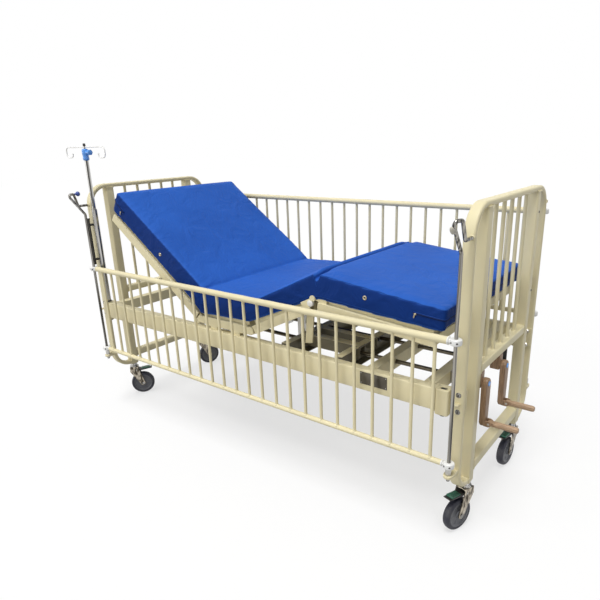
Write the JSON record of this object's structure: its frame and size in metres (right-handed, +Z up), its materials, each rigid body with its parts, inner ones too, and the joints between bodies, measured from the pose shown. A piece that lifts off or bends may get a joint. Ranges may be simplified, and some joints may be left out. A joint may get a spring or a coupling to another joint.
{
  "type": "pediatric hospital cot",
  "caption": "Hospital cot with end hoops, drop-side bar rails, cranked backrest and knee break under a sectioned mattress, drip pole and braked swivel casters.",
  "frame": {"origin": "on the floor, in the plane midway between the side rails, at the middle of the overall length", "axes": "+X towards the foot end, +Y towards the far side, +Z up"},
  "size_m": [2.245, 0.9431, 1.369],
  "materials": {
    "cream_enamel": "satin cream powder coat",
    "chrome_steel": "bright chrome plate",
    "dark_steel": "dark oxide steel",
    "zinc_steel": "zinc-plated steel",
    "white_plastic": "white moulded nylon",
    "tan_plastic": "tan moulded plastic",
    "blue_plastic": "blue moulded plastic",
    "knob_plastic": "blue knob plastic",
    "mattress_cover": "royal blue coated cover over foam",
    "wheel_rubber": "dark grey wheel with tread",
    "pedal_plastic": "green and black pedal",
    "bronze_steel": "dark bronze fork"
  },
  "bodies": {
    "bed_frame": {"head_hoop": "cream_enamel", "foot_hoop": "cream_enamel", "end_legs": "cream_enamel", "end_crossbars": "cream_enamel", "end_bars": "cream_enamel", "corner_brackets": "dark_steel", "hoop_bolts": "zinc_steel", "side_tubes": "cream_enamel", "cross_tubes": "cream_enamel", "guide_rods": "chrome_steel", "rod_fittings": "cream_enamel", "rod_knobs": "knob_plastic", "stay_tube": "dark_steel", "seat_frame": "cream_enamel", "seat_panel": "cream_enamel", "mattress_seat": "mattress_cover", "shaft_bearings": "zinc_steel", "crank_housings": "tan_plastic", "caster_sockets": "chrome_steel"},
    "near_rail": {"near_rail_tubes": "cream_enamel", "near_rail_bars": "cream_enamel", "near_rail_bushes": "white_plastic"},
    "far_rail": {"far_rail_tubes": "cream_enamel", "far_rail_bars": "cream_enamel", "far_rail_bushes": "white_plastic"},
    "backrest": {"back_frame": "cream_enamel", "back_panel": "cream_enamel", "mattress_back": "mattress_cover", "back_lever": "cream_enamel"},
    "thigh_section": {"thigh_frame": "cream_enamel", "thigh_panel": "cream_enamel", "mattress_thigh": "mattress_cover", "thigh_lever": "cream_enamel"},
    "calf_section": {"calf_frame": "cream_enamel", "calf_panel": "cream_enamel", "mattress_calf": "mattress_cover"},
    "back_nut": {"back_lift_nut": "zinc_steel"},
    "knee_nut": {"knee_lift_nut": "zinc_steel"},
    "back_crank": {"back_crank_shaft": "zinc_steel", "back_crank_arm": "tan_plastic"},
    "back_handle": {"back_crank_handle": "tan_plastic"},
    "knee_crank": {"knee_crank_shaft": "zinc_steel", "knee_crank_arm": "tan_plastic"},
    "knee_handle": {"knee_crank_handle": "tan_plastic"},
    "drip_pole": {"pole_tubes": "chrome_steel", "pole_clamp": "blue_plastic"},
    "clamp_knob": {"pole_knob": "blue_plastic"},
    "hook_rod": {"pole_hooks": "zinc_steel"},
    "caster_near_foot": {"caster_fork_near_foot": "bronze_steel"},
    "wheel_near_foot": {"caster_wheel_near_foot": "wheel_rubber"},
    "pedal_near_foot": {"caster_pedal_near_foot": "pedal_plastic"},
    "caster_near_head": {"caster_fork_near_head": "bronze_steel"},
    "wheel_near_head": {"caster_wheel_near_head": "wheel_rubber"},
    "pedal_near_head": {"caster_pedal_near_head": "pedal_plastic"},
    "caster_far_foot": {"caster_fork_far_foot": "bronze_steel"},
    "wheel_far_foot": {"caster_wheel_far_foot": "wheel_rubber"},
    "pedal_far_foot": {"caster_pedal_far_foot": "pedal_plastic"},
    "caster_far_head": {"caster_fork_far_head": "bronze_steel"},
    "wheel_far_head": {"caster_wheel_far_head": "wheel_rubber"},
    "pedal_far_head": {"caster_pedal_far_head": "pedal_plastic"}
  },
  "joints": [
    {"name": "near_rail_lift", "type": "slide", "parent": "bed_frame", "child": "near_rail", "axis": [0, 0, 1], "range_m": [0, 0.252]},
    {"name": "far_rail_lift", "type": "slide", "parent": "bed_frame", "child": "far_rail", "axis": [0, 0, 1], "range_m": [-0.293, 0]},
    {"name": "backrest_tilt", "type": "hinge", "parent": "bed_frame", "child": "backrest", "pos_m": [-0.24, 0, 0.617], "axis": [0, 1, 0], "range_deg": [-36.5, 36.5]},
    {"name": "thigh_lift", "type": "hinge", "parent": "bed_frame", "child": "thigh_section", "pos_m": [0.066, 0, 0.617], "axis": [0, -1, 0], "range_deg": [-26, 13]},
    {"name": "calf_fold", "type": "hinge", "parent": "thigh_section", "child": "calf_section", "pos_m": [0.39167, 0, 0.80699], "axis": [0, 1, 0], "range_deg": [-31.1, 15.6]},
    {"name": "back_nut_travel", "type": "slide", "parent": "bed_frame", "child": "back_nut", "axis": [-1, 0, 0], "range_m": [-0.0612, 0.0612]},
    {"name": "knee_nut_travel", "type": "slide", "parent": "bed_frame", "child": "knee_nut", "axis": [1, 0, 0], "range_m": [-0.0446, 0.0225]},
    {"name": "back_crank_turn", "type": "hinge", "parent": "bed_frame", "child": "back_crank", "pos_m": [0.991, -0.215, 0.562], "axis": [1, 0, 0], "range_deg": [-1081, 1081]},
    {"name": "knee_crank_turn", "type": "hinge", "parent": "bed_frame", "child": "knee_crank", "pos_m": [0.991, -0.03, 0.562], "axis": [1, 0, 0], "range_deg": [-721, 361]},
    {"name": "back_handle_fold", "type": "hinge", "parent": "back_crank", "child": "back_handle", "pos_m": [1.023, -0.215, 0.416], "axis": [0, -1, 0], "range_deg": [0, 90]},
    {"name": "knee_handle_fold", "type": "hinge", "parent": "knee_crank", "child": "knee_handle", "pos_m": [1.023, -0.03, 0.416], "axis": [0, -1, 0], "range_deg": [0, 90]},
    {"name": "drip_pole_turn", "type": "hinge", "parent": "bed_frame", "child": "drip_pole", "pos_m": [-0.956, -0.373, 0.5], "axis": [0, 0, 1], "continuous": true},
    {"name": "hook_rod_slide", "type": "slide", "parent": "drip_pole", "child": "hook_rod", "axis": [0, 0, 1], "range_m": [0, 0.43]},
    {"name": "clamp_knob_turn", "type": "hinge", "parent": "drip_pole", "child": "clamp_knob", "pos_m": [-0.956, -0.373, 1.328], "axis": [1, 0, 0], "range_deg": [0, 360]},
    {"name": "swivel_near_foot", "type": "hinge", "parent": "bed_frame", "child": "caster_near_foot", "pos_m": [0.968, -0.254, 0.165], "axis": [0, 0, 1], "continuous": true},
    {"name": "roll_near_foot", "type": "hinge", "parent": "caster_near_foot", "child": "wheel_near_foot", "pos_m": [0.95626, -0.29014, 0.0625], "axis": [0.9511, -0.309, 0], "continuous": true},
    {"name": "brake_near_foot", "type": "hinge", "parent": "caster_near_foot", "child": "pedal_near_foot", "pos_m": [0.96429, -0.26541, 0.147], "axis": [0.9511, -0.309, 0], "range_deg": [0, 12]},
    {"name": "swivel_near_head", "type": "hinge", "parent": "bed_frame", "child": "caster_near_head", "pos_m": [-1, -0.254, 0.165], "axis": [0, 0, 1], "continuous": true},
    {"name": "roll_near_head", "type": "hinge", "parent": "caster_near_head", "child": "wheel_near_head", "pos_m": [-0.9766, -0.22406, 0.0625], "axis": [-0.788, 0.6157, 0], "continuous": true},
    {"name": "brake_near_head", "type": "hinge", "parent": "caster_near_head", "child": "pedal_near_head", "pos_m": [-0.99261, -0.24454, 0.147], "axis": [-0.788, 0.6157, 0], "range_deg": [0, 12]},
    {"name": "swivel_far_foot", "type": "hinge", "parent": "bed_frame", "child": "caster_far_foot", "pos_m": [0.968, 0.254, 0.165], "axis": [0, 0, 1], "continuous": true},
    {"name": "roll_far_foot", "type": "hinge", "parent": "caster_far_foot", "child": "wheel_far_foot", "pos_m": [0.96403, 0.21621, 0.0625], "axis": [0.9945, -0.1045, 0], "continuous": true},
    {"name": "brake_far_foot", "type": "hinge", "parent": "caster_far_foot", "child": "pedal_far_foot", "pos_m": [0.96675, 0.24207, 0.147], "axis": [0.9945, -0.1045, 0], "range_deg": [0, 12]},
    {"name": "swivel_far_head", "type": "hinge", "parent": "bed_frame", "child": "caster_far_head", "pos_m": [-1, 0.254, 0.165], "axis": [0, 0, 1], "continuous": true},
    {"name": "roll_far_head", "type": "hinge", "parent": "caster_far_head", "child": "wheel_far_head", "pos_m": [-0.98454, 0.28871, 0.0625], "axis": [-0.9135, 0.4067, 0], "continuous": true},
    {"name": "brake_far_head", "type": "hinge", "parent": "caster_far_head", "child": "pedal_far_head", "pos_m": [-0.99512, 0.26496, 0.147], "axis": [-0.9135, 0.4067, 0], "range_deg": [0, 12]}
  ],
  "couplings": [
    {"joint": "calf_fold", "follows": "thigh_lift", "ratio": 1.1923},
    {"joint": "back_nut_travel", "follows": "backrest_tilt", "m_per_rad": 0.0955},
    {"joint": "knee_nut_travel", "follows": "thigh_lift", "m_per_rad": 0.0975},
    {"joint": "back_crank_turn", "follows": "backrest_tilt", "ratio": 29.589},
    {"joint": "knee_crank_turn", "follows": "thigh_lift", "ratio": 27.692}
  ]
}
